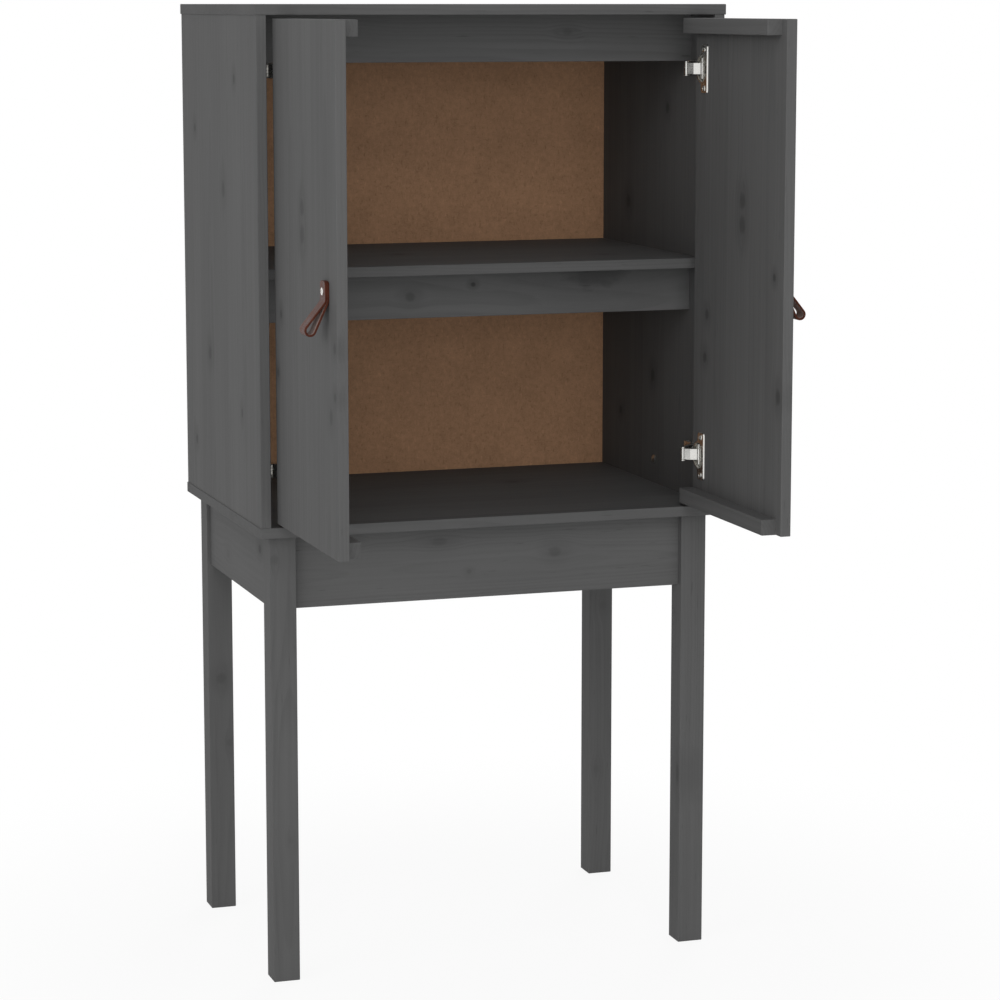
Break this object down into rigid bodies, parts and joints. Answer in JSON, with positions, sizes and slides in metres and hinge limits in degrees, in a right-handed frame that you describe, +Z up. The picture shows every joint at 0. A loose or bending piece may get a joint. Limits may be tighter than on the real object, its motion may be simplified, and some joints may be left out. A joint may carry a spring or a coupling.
{
  "type": "highboard",
  "caption": "Tall painted pine cabinet on a legged stand, with inset doors on concealed hinges, an inner shelf and folded leather loops as door pulls.",
  "frame": {"origin": "on the floor, under the middle of the whole piece's box with its doors open at a right angle", "axes": "+Z up, +X to the right seen from the front, the front with the doors faces -Y"},
  "size_m": [0.612, 0.6726, 1.2],
  "materials": {
    "painted_pine": "solid pine under a thin matt grey paint that lets grain and knots show",
    "hardboard": "bare brown fibreboard, smooth side inwards",
    "beech": "bare fluted dowel wood",
    "zinc_steel": "zinc plated",
    "nickel": "nickel plated, bright",
    "saddle_leather": "reddish brown saddle leather with dark cut edges"
  },
  "bodies": {
    "carcass": {"top_panel": "painted_pine", "bottom_panel": "painted_pine", "left_side_panel": "painted_pine", "right_side_panel": "painted_pine", "shelf": "painted_pine", "top_rail": "painted_pine", "shelf_rail": "painted_pine", "back_panel": "hardboard", "front_apron": "painted_pine", "rear_apron": "painted_pine", "left_apron": "painted_pine", "right_apron": "painted_pine", "front_left_leg": "painted_pine", "front_right_leg": "painted_pine", "rear_left_leg": "painted_pine", "rear_right_leg": "painted_pine", "carcass_dowels": "beech", "stand_dowels": "beech", "cam_locks": "zinc_steel", "cam_bolts": "zinc_steel", "back_panel_nails": "zinc_steel", "stand_brackets": "zinc_steel", "bracket_screws": "zinc_steel", "hinge_plate_screws": "nickel", "hinge_arm_screws": "nickel", "hinge_arm_pins": "nickel", "left_upper_hinge_plate": "nickel", "left_upper_hinge_arm": "nickel", "left_lower_hinge_plate": "nickel", "left_lower_hinge_arm": "nickel", "right_upper_hinge_plate": "nickel", "right_upper_hinge_arm": "nickel", "right_lower_hinge_plate": "nickel", "right_lower_hinge_arm": "nickel"},
    "left_link": {"left_upper_hinge_link": "nickel", "left_lower_hinge_link": "nickel"},
    "left_door": {"left_door_panel": "painted_pine", "left_door_top_batten": "painted_pine", "left_door_bottom_batten": "painted_pine", "left_batten_dowels": "beech", "left_upper_hinge_cup": "nickel", "left_lower_hinge_cup": "nickel", "left_hinge_cup_pins": "nickel", "left_hinge_cup_screws": "nickel", "left_pull": "saddle_leather", "left_pull_screw": "nickel"},
    "right_link": {"right_upper_hinge_link": "nickel", "right_lower_hinge_link": "nickel"},
    "right_door": {"right_door_panel": "painted_pine", "right_door_top_batten": "painted_pine", "right_door_bottom_batten": "painted_pine", "right_batten_dowels": "beech", "right_upper_hinge_cup": "nickel", "right_lower_hinge_cup": "nickel", "right_hinge_cup_pins": "nickel", "right_hinge_cup_screws": "nickel", "right_pull": "saddle_leather", "right_pull_screw": "nickel"}
  },
  "joints": [
    {"name": "left_link_swing", "type": "hinge", "parent": "carcass", "child": "left_link", "pos_m": [-0.2509, -0.0557, 0.88], "axis": [0, 0, 1], "range_deg": [-38.8, 2.2]},
    {"name": "left_door_swing", "type": "hinge", "parent": "left_link", "child": "left_door", "pos_m": [-0.2678, -0.06675, 0.88], "axis": [0, 0, 1], "range_deg": [-7.15, 128.72]},
    {"name": "right_link_swing", "type": "hinge", "parent": "carcass", "child": "right_link", "pos_m": [0.2509, -0.0557, 0.88], "axis": [0, 0, -1], "range_deg": [-38.8, 2.2]},
    {"name": "right_door_swing", "type": "hinge", "parent": "right_link", "child": "right_door", "pos_m": [0.2678, -0.06675, 0.88], "axis": [0, 0, -1], "range_deg": [-7.15, 128.72]}
  ],
  "couplings": [
    {"joint": "left_link_swing", "follows": "left_door_swing", "ratio": -0.3008},
    {"joint": "right_link_swing", "follows": "right_door_swing", "ratio": -0.3008}
  ]
}
